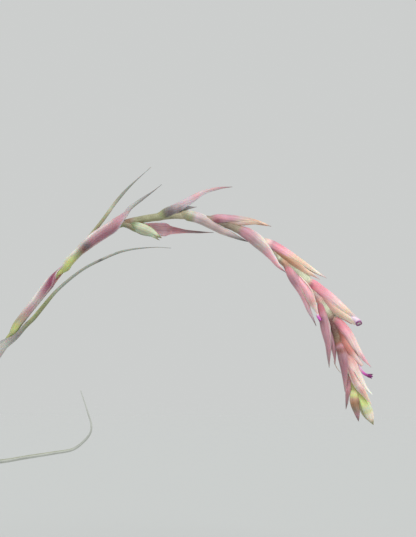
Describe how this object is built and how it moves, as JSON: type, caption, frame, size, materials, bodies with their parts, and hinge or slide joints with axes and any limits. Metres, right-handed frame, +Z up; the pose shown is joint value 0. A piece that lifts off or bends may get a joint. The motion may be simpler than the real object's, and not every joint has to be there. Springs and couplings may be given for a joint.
{
  "type": "baileyi air plant",
  "caption": "Whole air plant without a pot: a bulb of nested leaf sheaths, rolled twisting grey-green leaves and an arching pink flower spike.",
  "frame": {"origin": "middle of the rootstock's flat foot, on the surface that the plant rests on", "axes": "+Z up, +X from the bulb towards the tip of the flower spike, the spike arching in the plane Y = 0"},
  "size_m": [0.2414, 0.1408, 0.1489],
  "materials": {
    "leaf": "matte",
    "stem": "matte",
    "grey_bract": "matte",
    "pink_bract": "satin",
    "mauve_bract": "satin",
    "lilac_bract": "satin",
    "brown_bract": "matte",
    "cream_sepal": "satin",
    "green_bud": "satin",
    "petal": "satin"
  },
  "bodies": {
    "root": {"leaf_01": "leaf", "leaf_02": "leaf", "leaf_03": "leaf", "leaf_04": "leaf", "leaf_05": "leaf", "leaf_06": "leaf", "leaf_07": "leaf", "leaf_08": "leaf", "leaf_09": "leaf", "leaf_10": "leaf", "stem": "stem", "scape_bract_1": "grey_bract", "scape_bract_2": "pink_bract", "scape_bract_3": "pink_bract", "node_bract": "brown_bract", "bud_01": "green_bud", "floral_bract_01": "pink_bract", "floral_bract_02": "pink_bract", "floral_bract_03": "lilac_bract", "floral_bract_04": "pink_bract", "floral_bract_05": "mauve_bract", "floral_bract_06": "pink_bract", "floral_bract_07": "mauve_bract", "floral_bract_08": "pink_bract", "floral_bract_09": "mauve_bract", "floral_bract_10": "pink_bract", "floral_bract_11": "mauve_bract", "floral_bract_12": "cream_sepal", "floral_bract_13": "mauve_bract", "tip_bract": "brown_bract", "calyx_02": "cream_sepal", "calyx_04": "cream_sepal", "calyx_06": "cream_sepal", "calyx_07": "cream_sepal", "calyx_08": "cream_sepal", "calyx_09": "cream_sepal", "calyx_10": "cream_sepal", "calyx_12": "cream_sepal", "corolla_07": "petal", "corolla_08": "petal", "corolla_10": "petal", "tip_bud": "green_bud"}
  },
  "joints": []
}
